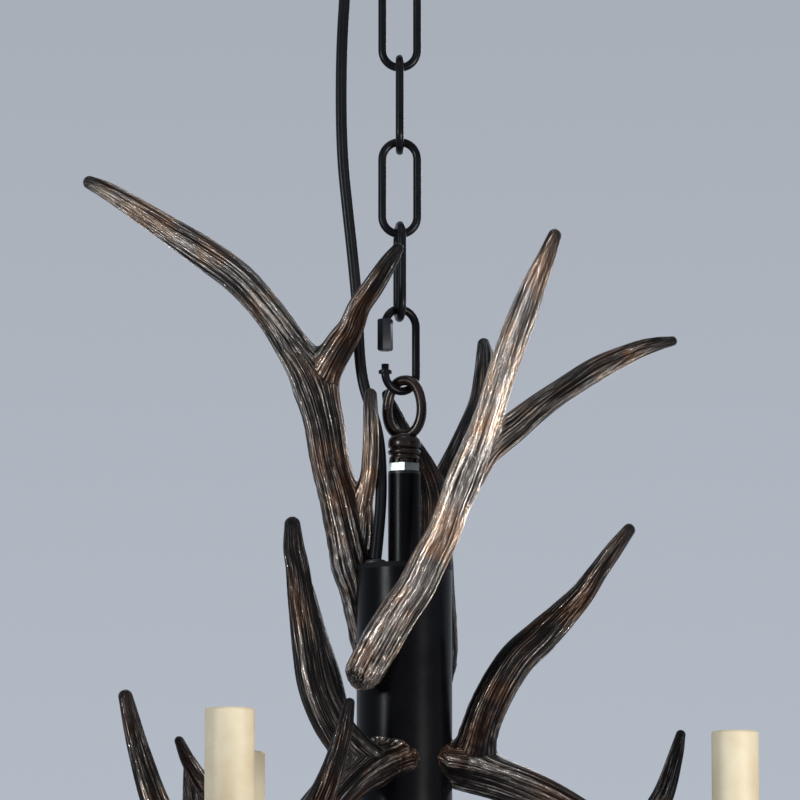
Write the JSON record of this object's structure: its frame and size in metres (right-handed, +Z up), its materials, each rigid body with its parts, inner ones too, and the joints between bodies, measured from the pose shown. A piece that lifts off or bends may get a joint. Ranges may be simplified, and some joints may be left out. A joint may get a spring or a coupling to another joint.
{
  "type": "antler chandelier",
  "caption": "Rustic hanging light: dark branching antlers round a steel column, candle-style lamp arms, oval-link chain, cord and ceiling canopy.",
  "frame": {"origin": "centre of the strap's upper face, on the ceiling and on the chain's axis", "axes": "+Z up into the ceiling, -Y to the front, X along the ceiling strap"},
  "size_m": [0.4699, 0.4853, 0.6166],
  "materials": {
    "canopy_paint": "satin",
    "steel_plain": "satin",
    "zinc_bright": "satin",
    "chain_black": "satin",
    "loop_bronze": "satin",
    "column_gloss": "gloss",
    "antler_resin": "satin",
    "cord_black": "gloss",
    "nylon_black": "satin",
    "terminal_white": "satin",
    "holder_dark": "satin",
    "sleeve_ivory": "satin",
    "cup_dark": "satin"
  },
  "bodies": {
    "ceiling_set": {"ceiling_bracket": "steel_plain", "ceiling_canopy": "canopy_paint", "canopy_rod": "steel_plain", "bracket_nut": "zinc_bright", "canopy_loop": "loop_bronze", "cord_grip": "nylon_black", "cord_grip_nut": "nylon_black", "ceiling_terminal_block": "terminal_white"},
    "link_1": {"chain_link_1": "chain_black"},
    "link_2": {"chain_link_2": "chain_black"},
    "link_3": {"chain_link_3": "chain_black"},
    "link_4": {"chain_link_4": "chain_black"},
    "quick_link_body": {"quick_link": "chain_black"},
    "sleeve_nut": {"quick_link_nut": "chain_black"},
    "sleeve_1": {"candle_sleeve_1": "sleeve_ivory"},
    "sleeve_2": {"candle_sleeve_2": "sleeve_ivory"},
    "sleeve_3": {"candle_sleeve_3": "sleeve_ivory"},
    "fixture": {"fixture_loop": "loop_bronze", "lock_washer": "zinc_bright", "column_nut": "zinc_bright", "column_washer": "zinc_bright", "column_tube": "column_gloss", "centre_rod": "steel_plain", "hub_top_plate": "column_gloss", "hub_body": "column_gloss", "hub_bottom_plate": "column_gloss", "bottom_nut": "zinc_bright", "bottom_bowl": "cup_dark", "finial": "cup_dark", "cord_grommet": "nylon_black", "hub_terminal_block": "terminal_white", "upper_antler_screws": "steel_plain", "arm_screws": "steel_plain", "antler_left": "antler_resin", "antler_front": "antler_resin", "antler_back": "antler_resin", "arm_antler_right": "antler_resin", "arm_antler_back": "antler_resin", "arm_antler_front": "antler_resin", "power_cord": "cord_black", "lamp_rod_1": "steel_plain", "drip_cup_1": "cup_dark", "lamp_holder_1": "holder_dark", "lamp_rod_2": "steel_plain", "drip_cup_2": "cup_dark", "lamp_holder_2": "holder_dark", "lamp_rod_3": "steel_plain", "drip_cup_3": "cup_dark", "lamp_holder_3": "holder_dark"}
  },
  "joints": [
    {"name": "link_1_swing", "type": "hinge", "parent": "ceiling_set", "child": "link_1", "pos_m": [0, 0, -0.0746], "axis": [0, 1, 0], "range_deg": [-20, 20]},
    {"name": "link_2_swing", "type": "hinge", "parent": "link_1", "child": "link_2", "pos_m": [0, 0, -0.1234], "axis": [1, 0, 0], "range_deg": [-15, 15]},
    {"name": "link_3_swing", "type": "hinge", "parent": "link_2", "child": "link_3", "pos_m": [0, 0, -0.1728], "axis": [0, 1, 0], "range_deg": [-12, 12]},
    {"name": "link_4_swing", "type": "hinge", "parent": "link_3", "child": "link_4", "pos_m": [0, 0, -0.2222], "axis": [1, 0, 0], "range_deg": [-12, 12]},
    {"name": "quick_link_swing", "type": "hinge", "parent": "link_4", "child": "quick_link_body", "pos_m": [0, 0, -0.2716], "axis": [-0.1392, 0.9903, 0], "range_deg": [-10, 10]},
    {"name": "fixture_swing", "type": "hinge", "parent": "quick_link_body", "child": "fixture", "pos_m": [0, 0, -0.3147], "axis": [0.8829, 0.4695, 0], "range_deg": [-6, 6], "deforming": ["power_cord"]},
    {"name": "sleeve_nut_run", "type": "slide", "parent": "quick_link_body", "child": "sleeve_nut", "axis": [0, 0, -1], "range_m": [0, 0.011]},
    {"name": "candle_sleeve_1_lift", "type": "slide", "parent": "fixture", "child": "sleeve_1", "axis": [0, 0, 1], "range_m": [0, 0.06]},
    {"name": "candle_sleeve_2_lift", "type": "slide", "parent": "fixture", "child": "sleeve_2", "axis": [0, 0, 1], "range_m": [0, 0.06]},
    {"name": "candle_sleeve_3_lift", "type": "slide", "parent": "fixture", "child": "sleeve_3", "axis": [0, 0, 1], "range_m": [0, 0.06]}
  ]
}
